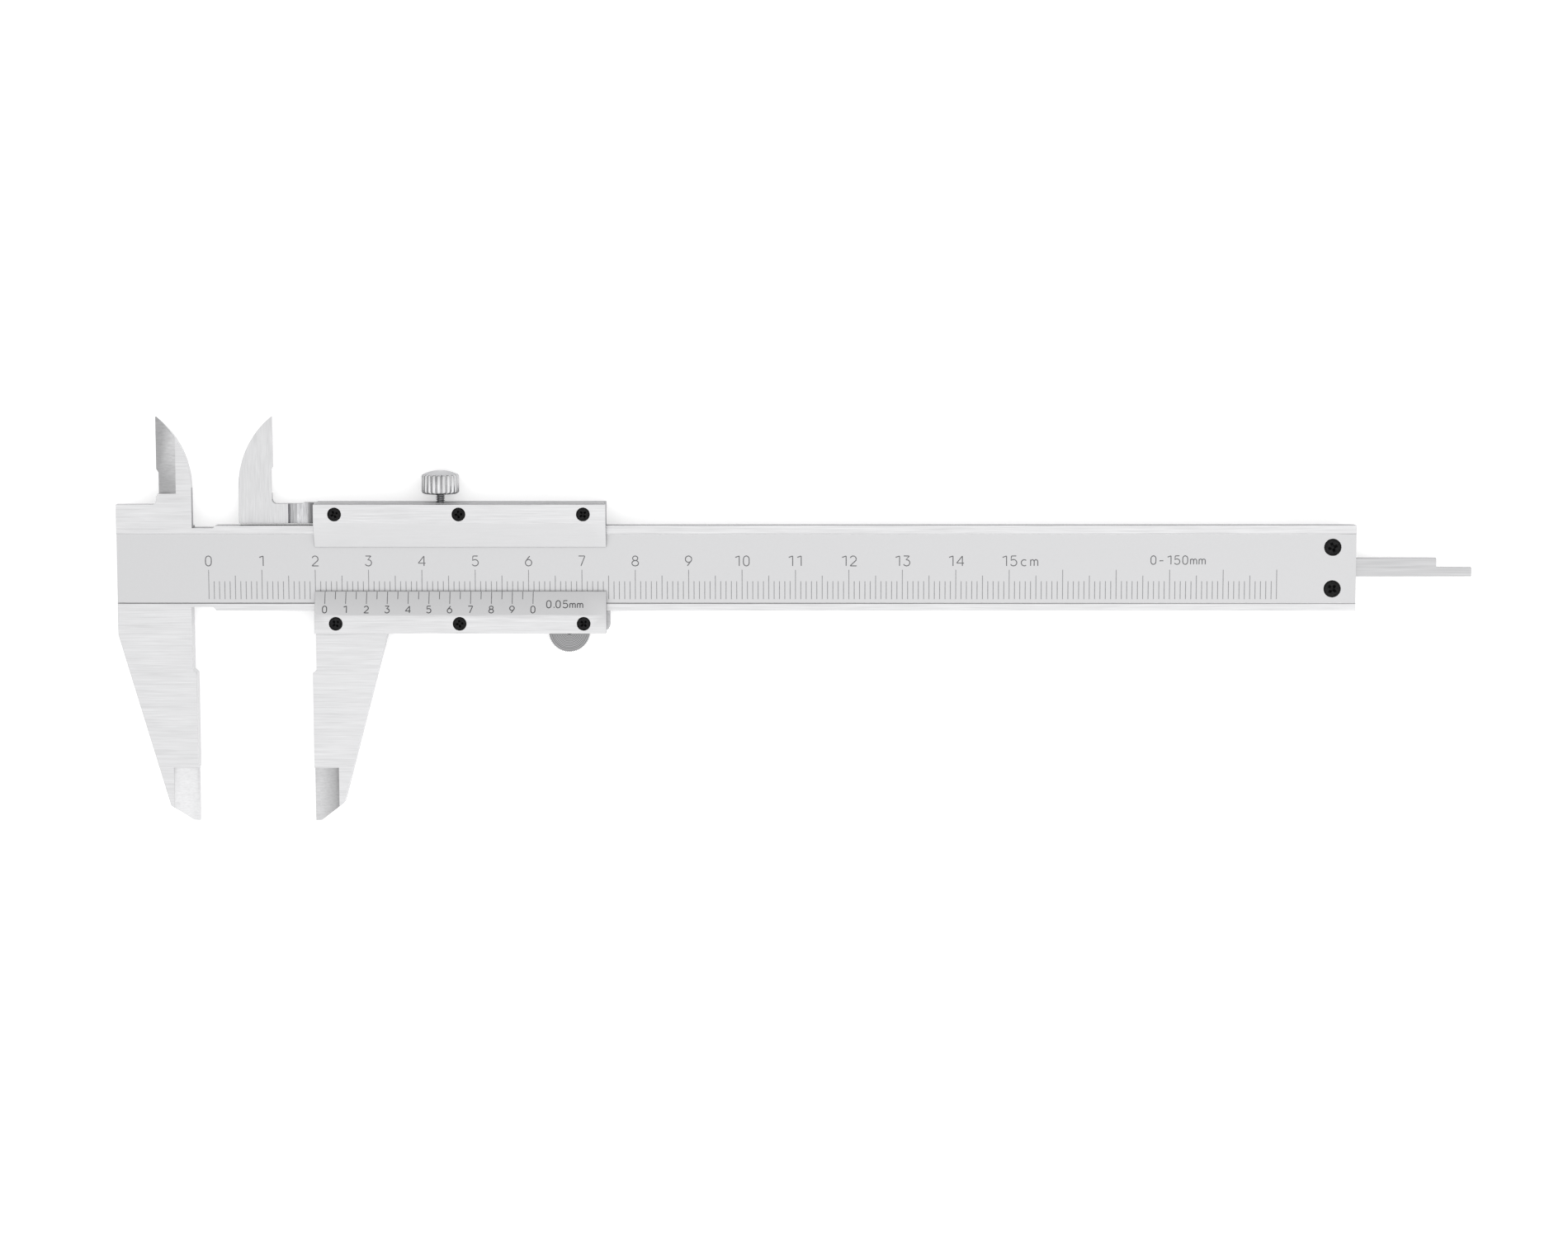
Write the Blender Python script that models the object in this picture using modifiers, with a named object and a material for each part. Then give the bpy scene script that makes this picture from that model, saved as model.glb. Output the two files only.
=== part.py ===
"""Vernier caliper, 0-150 mm with 0.05 mm vernier, modelled as its separate real pieces.

The caliper lies on its back: +X runs along the beam, +Y points to the inside jaws and
+Z comes out of the scale face. The origin is the middle of the fixed outside jaw's
measuring face. Lengths are millimetres, and the helpers turn them into metres.
"""
import math

import bmesh
import bpy
from mathutils import Matrix

MM = 0.001

# Reading shown by the scale: how far the jaws stand open.
OPENING = 21.9

# Beam
BEAM_LEFT = -14.55
BEAM_RIGHT = 217.4
BEAM_HALF_WIDTH = 8.0
BEAM_HALF_THICK = 1.6
ROOT_RELIEF_END = 4.0
SCALE_RECESS_DEPTH = 0.2
SCALE_RECESS_TOP = 6.3
SCALE_RECESS_BOTTOM = -6.5
ROD_GROOVE_START = 20.0
ROD_GROOVE_HALF_WIDTH = 1.95
ROD_GROOVE_FLOOR = -0.2

# Outside jaws
JAW_TIP_Y = -48.0
JAW_FACE_TOP_Y = -19.8
JAW_FACE_MID_Y = (JAW_TIP_Y + JAW_FACE_TOP_Y) / 2
JAW_RELIEF = 0.7
NIB_TOP_Y = -37.8
NIB_WIDTH = 4.6
NIB_EDGE_HALF_THICK = 0.5
NIB_STEP = 0.12

# Inside jaws: two blades of half the thickness, which cross as the caliper closes
BLADE_TIP_Y = 28.4
BLADE_EDGE_X = -7.1
BLADE_BACK_X = -0.35
BLADE_ROOT_Y = 15.1
BLADE_TIP_WIDTH = 0.2
BLOCK_TOP_Y = 12.0
MOVING_BLADE_BACK_X = -13.66
BLADE_GAP = 0.05
KNIFE_WIDTH = 3.9

# The moving blade's root: a relief groove, then the hollow that its grinding wheel left
ROOT_GROOVE_LEFT = -4.4
ROOT_GROOVE_FLOOR = -0.62
ROOT_HOLLOW_X = -1.6
ROOT_HOLLOW_FLOOR = -0.35
ROOT_HOLLOW_RADIUS = 2.6

# Slider
SLIDER_LEFT = 0.7
SLIDER_RIGHT = 55.3
SLIDER_TOP = 12.25
SLIDER_BOTTOM = -12.2
BACK_WALL_REAR = -3.7
BACK_WALL_FRONT = -1.85
BAR_FRONT = 1.65
UPPER_BAR_INNER = 9.0
LOWER_BAR_INNER = -8.25
PLATE_BACK = 1.75
PLATE_FRONT = 3.6
LIP_EDGE_FRONT = 1.95
UPPER_LIP_Y = 4.0
VERNIER_LIP_Y = -4.3

# Fasteners
PLATE_SCREW_X = (4.7, 27.9, 51.1)
PLATE_SCREW_Y = 10.25
PLATE_SCREW_HEAD_RADIUS = 1.22
STOP_SCREW_X = 213.0
STOP_SCREW_Y = 3.9
STOP_SCREW_HEAD_RADIUS = 1.56
HEAD_GAP = 0.05
FIT_GAP = 0.15

# End stop on the back of the beam
STOP_LEFT = 209.0
STOP_HALF_WIDTH = 7.2
STOP_REAR = -3.5
STOP_FRONT = -1.75

# Depth rod, flush with the beam's end when the jaws are shut
ROD_LEFT = 38.0
ROD_HALF_WIDTH = 1.75
ROD_FRONT = -0.35
ROD_REAR = -1.45
ROD_NOTCH_LENGTH = 6.6
ROD_RIVET_X = (41.0, 46.5)

# Lock screw and the pressure strip under it
LOCK_X = 24.2
LOCK_TIP_Y = 8.8
KNOB_BOTTOM_Y = 13.9
KNOB_SIDE_TOP_Y = 17.4
KNOB_TOP_Y = 18.3
KNOB_RADIUS = 3.55
LOCK_CORE_RADIUS = 0.95
STRIP_BOTTOM_Y = 8.3
STRIP_TOP_Y = 8.7
STRIP_LEFT = 4.0
STRIP_RIGHT = 52.0

# Thumb roller
ROLLER_X = 48.15
ROLLER_Y = -12.1
ROLLER_RADIUS = 3.9
ROLLER_REAR = -1.9
ROLLER_FRONT = -0.15
AXLE_RADIUS = 0.5

# Base colours, roughness and metalness
STEEL_BRUSHED = ((0.72, 0.72, 0.73), 0.32, 1.0)
STEEL_SATIN = ((0.66, 0.66, 0.67), 0.42, 1.0)
STEEL_MATT = ((0.60, 0.60, 0.61), 0.5, 1.0)
STEEL_BLACK = ((0.02, 0.02, 0.022), 0.35, 0.6)
CHROME_BRIGHT = ((0.78, 0.78, 0.79), 0.16, 1.0)
SPRING_BRONZE = ((0.62, 0.42, 0.22), 0.35, 1.0)

TO_MESH_CLEANUP = 1e-7


def clear_scene():
    for old in list(bpy.data.objects):
        bpy.data.objects.remove(old, do_unlink=True)


def new_collection(name):
    collection = bpy.data.collections.new(name)
    bpy.context.scene.collection.children.link(collection)
    return collection


def new_empty(name, location, parent=None):
    empty = bpy.data.objects.new(name, None)
    empty.location = [value * MM for value in location]
    empty.parent = parent
    PARTS.objects.link(empty)
    return empty


def new_material(name, colour, roughness, metallic):
    material = bpy.data.materials.new(name)
    material.use_nodes = True
    shader = material.node_tree.nodes["Principled BSDF"]
    shader.inputs["Base Color"].default_value = (*colour, 1.0)
    shader.inputs["Roughness"].default_value = roughness
    shader.inputs["Metallic"].default_value = metallic
    return material


def finish_part(part, parent, finish):
    """Put a finished shape in the parts collection with its parent and its own material."""
    for collection in list(part.users_collection):
        collection.objects.unlink(part)
    PARTS.objects.link(part)
    part.parent = parent
    colour, roughness, metallic = finish
    part.data.materials.clear()
    part.data.materials.append(new_material(part.name, colour, roughness, metallic))
    part.data.shade_smooth()
    part.data.set_sharp_from_angle(angle=math.radians(30))
    return part


def finish_cutter(cutter, parent):
    for collection in list(cutter.users_collection):
        collection.objects.unlink(cutter)
    CUTTERS.objects.link(cutter)
    cutter.parent = parent
    cutter.hide_render = True
    cutter.display_type = "WIRE"
    return cutter


def arc(centre, radius, start, end, steps):
    """Points along an arc, angles in degrees, both ends included."""
    points = []
    for step in range(steps + 1):
        angle = math.radians(start + (end - start) * step / steps)
        points.append((centre[0] + radius * math.cos(angle), centre[1] + radius * math.sin(angle)))
    return points


def plate(name, outline, low, high, along="Z"):
    """A flat outline extruded from low to high along Z, or along X or Y with the outline across it.

    The outline's points are (x, y) for Z, (y, z) for X and (x, z) for Y.
    """
    curve = bpy.data.curves.new(name, "CURVE")
    curve.dimensions = "2D"
    curve.fill_mode = "BOTH"
    curve.extrude = (high - low) * MM / 2
    spline = curve.splines.new("POLY")
    spline.points.add(len(outline) - 1)
    for point, (u, v) in zip(spline.points, outline):
        point.co = (u * MM, v * MM, 0.0, 1.0)
    spline.use_cyclic_u = True
    guide = bpy.data.objects.new(name + "_outline", curve)
    CUTTERS.objects.link(guide)
    middle = (high + low) * MM / 2
    if along == "Z":
        place = Matrix.Translation((0.0, 0.0, middle))
    elif along == "X":
        turn = Matrix.Rotation(math.radians(90), 4, "Z") @ Matrix.Rotation(math.radians(90), 4, "X")
        place = Matrix.Translation((middle, 0.0, 0.0)) @ turn
    else:
        place = Matrix.Translation((0.0, middle, 0.0)) @ Matrix.Rotation(math.radians(90), 4, "X")
    guide.matrix_world = place
    bpy.context.view_layer.update()
    evaluated = guide.evaluated_get(bpy.context.evaluated_depsgraph_get())
    mesh = bpy.data.meshes.new_from_object(evaluated)
    mesh.name = name
    mesh.transform(place)
    shape = bmesh.new()
    shape.from_mesh(mesh)
    bmesh.ops.remove_doubles(shape, verts=shape.verts, dist=TO_MESH_CLEANUP)
    bmesh.ops.dissolve_limit(shape, angle_limit=math.radians(0.1), verts=shape.verts, edges=shape.edges)
    bmesh.ops.recalc_face_normals(shape, faces=shape.faces)
    shape.to_mesh(mesh)
    shape.free()
    bpy.data.objects.remove(guide, do_unlink=True)
    bpy.data.curves.remove(curve)
    result = bpy.data.objects.new(name, mesh)
    CUTTERS.objects.link(result)
    return result


def box(name, low, high):
    """A block between two corners."""
    shape = bmesh.new()
    bmesh.ops.create_cube(shape, size=1.0)
    size = [(b - a) * MM for a, b in zip(low, high)]
    middle = [(a + b) * MM / 2 for a, b in zip(low, high)]
    bmesh.ops.scale(shape, vec=size, verts=shape.verts)
    bmesh.ops.translate(shape, vec=middle, verts=shape.verts)
    mesh = bpy.data.meshes.new(name)
    shape.to_mesh(mesh)
    shape.free()
    result = bpy.data.objects.new(name, mesh)
    CUTTERS.objects.link(result)
    return result


def rod(name, radius, low, high, centre=(0.0, 0.0), segments=20, along="Z"):
    """A round bar from low to high; centre is (x, y) for a bar along Z and (x, z) along Y."""
    shape = bmesh.new()
    bmesh.ops.create_cone(
        shape,
        cap_ends=True,
        segments=segments,
        radius1=radius * MM,
        radius2=radius * MM,
        depth=(high - low) * MM,
    )
    middle = (low + high) * MM / 2
    if along == "Z":
        place = Matrix.Translation((centre[0] * MM, centre[1] * MM, middle))
    else:
        turn = Matrix.Rotation(math.radians(-90), 4, "X")
        place = Matrix.Translation((centre[0] * MM, middle, centre[1] * MM)) @ turn
    bmesh.ops.transform(shape, matrix=place, verts=shape.verts)
    mesh = bpy.data.meshes.new(name)
    shape.to_mesh(mesh)
    shape.free()
    result = bpy.data.objects.new(name, mesh)
    CUTTERS.objects.link(result)
    return result


def turned(name, profile, segments, ring=False):
    """A solid of revolution about local Z. The profile is (radius, height) from top to bottom.

    A ring's profile runs on round to its first point.
    """
    mesh = bpy.data.meshes.new(name)
    points = [(radius * MM, 0.0, height * MM) for radius, height in profile]
    edges = [(index, index + 1) for index in range(len(points) - 1)]
    if ring:
        edges.append((len(points) - 1, 0))
    mesh.from_pydata(points, edges, [])
    result = bpy.data.objects.new(name, mesh)
    CUTTERS.objects.link(result)
    screw = result.modifiers.new("turn", "SCREW")
    screw.steps = segments
    screw.render_steps = segments
    screw.use_merge_vertices = True
    screw.merge_threshold = 1e-6
    return result


def boolean(target, other, operation, parent):
    finish_cutter(other, parent)
    modifier = target.modifiers.new(other.name, "BOOLEAN")
    modifier.operation = operation
    modifier.solver = "EXACT"
    modifier.object = other
    return target


def cut(target, other, parent):
    return boolean(target, other, "DIFFERENCE", parent)


def join(target, other, parent):
    return boolean(target, other, "UNION", parent)


def blade_back(back_x):
    """The arc from an inside blade's straight back to its tip: centre, radius and tip angle."""
    side = 1 if back_x > BLADE_EDGE_X else -1
    rise = BLADE_TIP_Y - BLADE_ROOT_Y
    run = abs(back_x - BLADE_EDGE_X) - BLADE_TIP_WIDTH
    radius = (run ** 2 + rise ** 2) / (2 * run)
    tip_angle = math.degrees(math.asin(rise / radius))
    return (back_x - side * radius, BLADE_ROOT_Y), radius, tip_angle


def fixed_outline():
    """Beam, fixed outside jaw, block and fixed inside blade in one outline."""
    half = BEAM_HALF_WIDTH
    blade_centre, blade_radius, tip_angle = blade_back(BLADE_BACK_X)
    outline = [(BEAM_RIGHT, -half), (BEAM_RIGHT, half)]
    outline += [(ROOT_RELIEF_END, half), (ROOT_RELIEF_END - 0.4, half - 0.45), (BLADE_BACK_X, half - 0.45)]
    outline += arc(blade_centre, blade_radius, 0, tip_angle, 9)
    outline += [(BLADE_EDGE_X, BLADE_TIP_Y), (BLADE_EDGE_X, 18.5), (BLADE_EDGE_X + 0.45, 17.9)]
    outline += [(BLADE_EDGE_X + 0.45, 14.0), (BLADE_EDGE_X + 0.15, 13.5)]
    outline += arc((BLADE_EDGE_X - 0.55, BLOCK_TOP_Y + 0.7), 0.7, 0, -90, 4)
    outline += [(BEAM_LEFT, BLOCK_TOP_Y), (BEAM_LEFT, -12.6), (-5.3, -45.0), (-1.2, JAW_TIP_Y + 0.1)]
    outline += [(0.0, JAW_TIP_Y), (0.0, JAW_FACE_TOP_Y), (-JAW_RELIEF, JAW_FACE_TOP_Y + 0.6)]
    outline += [(-JAW_RELIEF, -half + JAW_RELIEF), (ROOT_RELIEF_END - 0.6, -half + JAW_RELIEF)]
    outline += [(ROOT_RELIEF_END, -half)]
    return outline


def nib_cutter(name, side, front):
    """Hollow-ground pocket that thins a jaw's tip, its arc lowest at the measuring face.

    side is -1 for the fixed jaw and +1 for the moving one, front is +1 or -1 for front or back.
    """
    rise = BEAM_HALF_THICK - NIB_STEP - NIB_EDGE_HALF_THICK
    radius = (NIB_WIDTH ** 2 + rise ** 2) / (2 * rise)
    outline = [(-0.5 * side, front * NIB_EDGE_HALF_THICK)]
    for step in range(8):
        across = NIB_WIDTH * step / 7
        height = NIB_EDGE_HALF_THICK + radius - math.sqrt(radius ** 2 - across ** 2)
        outline.append((across * side, front * height))
    outline += [(NIB_WIDTH * side, front * 3.0), (-0.5 * side, front * 3.0)]
    return plate(name, outline, JAW_TIP_Y - 1.0, NIB_TOP_Y, along="Y")


def build_beam(root):
    beam = plate("beam_with_fixed_jaws", fixed_outline(), -BEAM_HALF_THICK, BEAM_HALF_THICK)
    rear_low = (BEAM_LEFT - 1.0, BEAM_HALF_WIDTH - 0.1, -3.0)
    rear_high = (BLADE_BACK_X + 0.8, BLADE_TIP_Y + 1.0, 0.0)
    cut(beam, box("behind_fixed_blade", rear_low, rear_high), root)
    top = BEAM_HALF_THICK + 0.5
    floor = BEAM_HALF_THICK - SCALE_RECESS_DEPTH
    wall = 0.5 + SCALE_RECESS_DEPTH
    recess = [
        (SCALE_RECESS_BOTTOM, floor),
        (SCALE_RECESS_TOP, floor),
        (SCALE_RECESS_TOP + wall, top),
        (SCALE_RECESS_BOTTOM - wall, top),
    ]
    cut(beam, plate("scale_recess", recess, BEAM_LEFT - 1.0, BEAM_RIGHT + 1.0, along="X"), root)
    groove_low = (ROD_GROOVE_START, -ROD_GROOVE_HALF_WIDTH, -3.0)
    groove_high = (BEAM_RIGHT + 1.0, ROD_GROOVE_HALF_WIDTH, ROD_GROOVE_FLOOR)
    cut(beam, box("depth_rod_groove", groove_low, groove_high), root)
    knife = [
        (BLADE_EDGE_X - 1.0, -0.29),
        (BLADE_EDGE_X + KNIFE_WIDTH, BEAM_HALF_THICK),
        (BLADE_EDGE_X + KNIFE_WIDTH, 3.0),
        (BLADE_EDGE_X - 1.0, 3.0),
    ]
    cut(beam, plate("fixed_knife_bevel", knife, 14.0, BLADE_TIP_Y + 1.0, along="Y"), root)
    cut(beam, nib_cutter("fixed_nib_front", -1, 1), root)
    cut(beam, nib_cutter("fixed_nib_rear", -1, -1), root)
    for label, side in (("upper", 1), ("lower", -1)):
        centre = (STOP_SCREW_X, side * STOP_SCREW_Y)
        hole = rod("stop_screw_hole_" + label, 0.9 + FIT_GAP, -3.0, 3.0, centre)
        cut(beam, hole, root)
        seat = rod("stop_screw_seat_" + label, STOP_SCREW_HEAD_RADIUS + HEAD_GAP, 0.6, 3.0, centre, 28)
        cut(beam, seat, root)
    return finish_part(beam, root, STEEL_BRUSHED)


def build_end_stop(root):
    low = (STOP_LEFT, -STOP_HALF_WIDTH, STOP_REAR)
    high = (BEAM_RIGHT - 0.5, STOP_HALF_WIDTH, STOP_FRONT)
    stop = box("end_stop_plate", low, high)
    for label, side in (("upper", 1), ("lower", -1)):
        centre = (STOP_SCREW_X, side * STOP_SCREW_Y)
        cut(stop, rod("stop_plate_hole_" + label, 0.9 + FIT_GAP, -5.0, 0.0, centre), root)
    edges = stop.modifiers.new("edges", "BEVEL")
    edges.width = 0.3 * MM
    edges.segments = 2
    edges.angle_limit = math.radians(60)
    return finish_part(stop, root, STEEL_BRUSHED)


def screw_body(name, head_radius, head_height, shank_radius, shank_length):
    """Low round-headed screw standing on local Z, its head's seat at z = 0."""
    profile = [
        (0.0, head_height),
        (head_radius * 0.72, head_height),
        (head_radius * 0.93, head_height * 0.86),
        (head_radius, head_height * 0.6),
        (head_radius, 0.0),
        (shank_radius, 0.0),
        (shank_radius, -shank_length + 0.3),
        (shank_radius - 0.3, -shank_length),
        (0.0, -shank_length),
    ]
    return turned(name, profile, 24)


def build_screw(name, parent, place, turn, sizes):
    """A cross-recess screw at a place in its parent, turned about its axis."""
    head_radius, head_height, shank_radius, shank_length = sizes
    screw = screw_body(name, head_radius, head_height, shank_radius, shank_length)
    wing = head_radius * 0.62
    half_slot = head_radius * 0.17
    floor = head_height * 0.4
    across = box(name + "_recess_across", (-wing, -half_slot, floor), (wing, half_slot, head_height + 1.0))
    along = box(name + "_recess_along", (-half_slot, -wing, floor), (half_slot, wing, head_height + 1.0))
    cut(screw, across, screw)
    cut(screw, along, screw)
    finish_part(screw, parent, STEEL_BLACK)
    screw.location = [value * MM for value in place]
    screw.rotation_euler = (0.0, 0.0, math.radians(turn))
    return screw


def build_stop_screws(root):
    for label, side, turn in (("upper", 1, 20), ("lower", -1, 50)):
        place = (STOP_SCREW_X, side * STOP_SCREW_Y, 0.75)
        build_screw("end_stop_screw_" + label, root, place, turn, (STOP_SCREW_HEAD_RADIUS, 0.75, 0.9, 3.9))


def moving_jaw_outline():
    """The moving outside jaw, from inside the slider's lower bar down to its tip."""
    top = SLIDER_BOTTOM + 2.0
    return [
        (0.0, JAW_TIP_Y),
        (1.2, JAW_TIP_Y + 0.1),
        (5.5, -44.5),
        (14.1, SLIDER_BOTTOM - 0.1),
        (14.1, top),
        (SLIDER_LEFT, top),
        (SLIDER_LEFT, JAW_FACE_TOP_Y + 0.6),
        (0.0, JAW_FACE_TOP_Y),
    ]


def moving_blade_outline():
    """The moving inside blade, with its root reaching into the slider's upper bar."""
    centre, radius, tip_angle = blade_back(MOVING_BLADE_BACK_X)
    bottom = BEAM_HALF_WIDTH + 0.3
    outline = [(SLIDER_LEFT + 2.0, bottom), (SLIDER_LEFT + 2.0, SLIDER_TOP), (-1.4, SLIDER_TOP)]
    outline += [(-1.8, BLOCK_TOP_Y)]
    outline += arc((BLADE_EDGE_X + 0.45, BLOCK_TOP_Y + 0.8), 0.8, -90, -180, 4)
    outline += [(BLADE_EDGE_X - 0.35, 15.0), (BLADE_EDGE_X - 0.35, 18.4), (BLADE_EDGE_X, 19.0)]
    outline += [(BLADE_EDGE_X, BLADE_TIP_Y)]
    outline += arc(centre, radius, 180 - tip_angle, 180, 9)
    outline += [(MOVING_BLADE_BACK_X, bottom)]
    return outline


def back_wall_outline():
    """Slider's back wall; its lower right end stands a little proud with a round corner."""
    outline = [(SLIDER_LEFT, SLIDER_BOTTOM), (SLIDER_RIGHT - 0.6, SLIDER_BOTTOM)]
    outline += arc((SLIDER_RIGHT - 0.6, SLIDER_BOTTOM + 1.1), 1.0, -90, 0, 5)
    outline += [(SLIDER_RIGHT + 0.4, LOWER_BAR_INNER), (SLIDER_RIGHT - 0.2, LOWER_BAR_INNER + 0.6)]
    outline += [(SLIDER_RIGHT - 0.2, SLIDER_TOP), (SLIDER_LEFT, SLIDER_TOP)]
    return outline


def build_slider_frame(slider):
    frame = plate("slider_frame", back_wall_outline(), BACK_WALL_REAR, BACK_WALL_FRONT)
    bar_right = SLIDER_RIGHT - 0.4
    upper_low = (SLIDER_LEFT, UPPER_BAR_INNER, BACK_WALL_FRONT - 0.5)
    upper_high = (bar_right, SLIDER_TOP, BAR_FRONT)
    join(frame, box("upper_bar", upper_low, upper_high), slider)
    lower_low = (SLIDER_LEFT, SLIDER_BOTTOM, BACK_WALL_FRONT - 0.5)
    lower_high = (bar_right, LOWER_BAR_INNER, BAR_FRONT)
    join(frame, box("lower_bar", lower_low, lower_high), slider)
    jaw = plate("moving_outside_jaw", moving_jaw_outline(), -BEAM_HALF_THICK, BEAM_HALF_THICK)
    join(frame, jaw, slider)
    blade = plate("moving_inside_blade", moving_blade_outline(), -BEAM_HALF_THICK, -BLADE_GAP)
    join(frame, blade, slider)
    cheek = rod("roller_cheek", 2.4, BACK_WALL_REAR + 0.1, ROLLER_REAR - FIT_GAP, (ROLLER_X, ROLLER_Y), 28)
    join(frame, cheek, slider)
    knife = [
        (BLADE_EDGE_X + 1.0, 0.07),
        (BLADE_EDGE_X + 1.0, -3.0),
        (BLADE_EDGE_X - KNIFE_WIDTH, -3.0),
        (BLADE_EDGE_X - KNIFE_WIDTH, -BEAM_HALF_THICK),
    ]
    cut(frame, plate("moving_knife_bevel", knife, 14.0, BLADE_TIP_Y + 1.0, along="Y"), slider)
    root_high = (SLIDER_LEFT + 1.0, SLIDER_TOP, BAR_FRONT)
    join(frame, box("blade_root", (-0.45, BEAM_HALF_WIDTH + 0.3, -BEAM_HALF_THICK), root_high), slider)
    hollow_centre = (ROOT_HOLLOW_X, ROOT_HOLLOW_FLOOR + ROOT_HOLLOW_RADIUS)
    groove = [(ROOT_GROOVE_LEFT, 3.0), (ROOT_GROOVE_LEFT, ROOT_GROOVE_FLOOR)]
    groove += arc(hollow_centre, ROOT_HOLLOW_RADIUS, -115, -28, 12)
    groove += [(SLIDER_LEFT, 3.0)]
    cut(frame, plate("blade_root_groove", groove, BEAM_HALF_WIDTH, SLIDER_TOP + 1.0, along="Y"), slider)
    cut(frame, nib_cutter("moving_nib_front", 1, 1), slider)
    cut(frame, nib_cutter("moving_nib_rear", 1, -1), slider)
    slot_half = ROLLER_RADIUS + 0.3
    slot_low = (ROLLER_X - slot_half, SLIDER_BOTTOM - 1.0, ROLLER_REAR - 0.1)
    slot_high = (ROLLER_X + slot_half, LOWER_BAR_INNER + 1.0, ROLLER_FRONT + 0.1)
    cut(frame, box("roller_slot", slot_low, slot_high), slider)
    cut(frame, rod("axle_hole", AXLE_RADIUS + 0.1, -5.0, -1.0, (ROLLER_X, ROLLER_Y), 16), slider)
    cut(frame, rod("lock_screw_hole", 1.15, 8.0, 14.0, (LOCK_X, 0.0), 20, along="Y"), slider)
    for index, x in enumerate(PLATE_SCREW_X):
        depth = -1.3
        cut(frame, rod(f"upper_tapped_hole_{index + 1}", 0.8, depth, 3.0, (x, PLATE_SCREW_Y), 16), slider)
        lower_depth = 0.4 if index == 2 else depth
        hole = rod(f"lower_tapped_hole_{index + 1}", 0.8, lower_depth, 3.0, (x, -PLATE_SCREW_Y), 16)
        cut(frame, hole, slider)
    for index, x in enumerate(ROD_RIVET_X):
        cut(frame, rod(f"rivet_hole_{index + 1}", 0.75 + FIT_GAP, -5.0, 0.0, (x, 0.0), 16), slider)
    return finish_part(frame, slider, STEEL_BRUSHED)


def cover_plate(name, side, lip_y, slider, finish):
    """A cover strip along one bar, with a bevelled lip reaching over the beam."""
    outer = 12.1 * side
    crest = 8.55 * side
    section = [(outer, PLATE_BACK), (outer, PLATE_FRONT), (crest, PLATE_FRONT)]
    section += [(lip_y, LIP_EDGE_FRONT), (lip_y, PLATE_BACK)]
    cover = plate(name, section, SLIDER_LEFT, SLIDER_RIGHT, along="X")
    for index, x in enumerate(PLATE_SCREW_X):
        centre = (x, side * PLATE_SCREW_Y)
        cut(cover, rod(f"{name}_hole_{index + 1}", 0.7 + FIT_GAP, 0.0, 5.0, centre, 16), slider)
        seat = rod(f"{name}_seat_{index + 1}", PLATE_SCREW_HEAD_RADIUS + HEAD_GAP, 2.8, 5.0, centre, 28)
        cut(cover, seat, slider)
    return finish_part(cover, slider, finish)


def build_plate_screws(slider):
    turns = (25, 0, 10, 35, 5, 40)
    for row, (label, side) in enumerate((("upper_plate", 1), ("vernier_plate", -1))):
        for index, x in enumerate(PLATE_SCREW_X):
            over_roller = side == -1 and index == 2
            shank = 2.2 if over_roller else 3.8
            sizes = (PLATE_SCREW_HEAD_RADIUS, 0.7, 0.7, shank)
            place = (x, side * PLATE_SCREW_Y, 2.95)
            build_screw(f"{label}_screw_{index + 1}", slider, place, turns[row * 3 + index], sizes)


def build_depth_rod(slider):
    right = BEAM_RIGHT
    low = (ROD_LEFT, -ROD_HALF_WIDTH, ROD_REAR)
    high = (right, ROD_HALF_WIDTH, ROD_FRONT)
    depth_rod = box("depth_rod", low, high)
    notch_low = (right - ROD_NOTCH_LENGTH, 0.0, -3.0)
    notch_high = (right + 1.0, ROD_HALF_WIDTH + 1.0, 1.0)
    cut(depth_rod, box("depth_rod_notch", notch_low, notch_high), slider)
    for index, x in enumerate(ROD_RIVET_X):
        cut(depth_rod, rod(f"rod_rivet_hole_{index + 1}", 0.75 + FIT_GAP, -5.0, 1.0, (x, 0.0), 16), slider)
        profile = [(0.0, 0.0), (0.55, 0.0), (0.75, -0.2), (0.75, -3.0), (0.0, -3.0)]
        rivet = turned(f"depth_rod_rivet_{index + 1}", profile, 16)
        finish_part(rivet, slider, STEEL_SATIN)
        rivet.location = (x * MM, 0.0, -0.6 * MM)
    return finish_part(depth_rod, slider, STEEL_SATIN)


def build_pressure_strip(slider):
    outline = [(STRIP_LEFT, -1.2), (STRIP_RIGHT, -1.2), (STRIP_RIGHT, 1.2), (STRIP_LEFT, 1.2)]
    strip = plate("pressure_strip", outline, STRIP_BOTTOM_Y, STRIP_TOP_Y, along="Y")
    corners = strip.modifiers.new("ends", "BEVEL")
    corners.width = 0.1 * MM
    corners.segments = 1
    return finish_part(strip, slider, SPRING_BRONZE)


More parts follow.
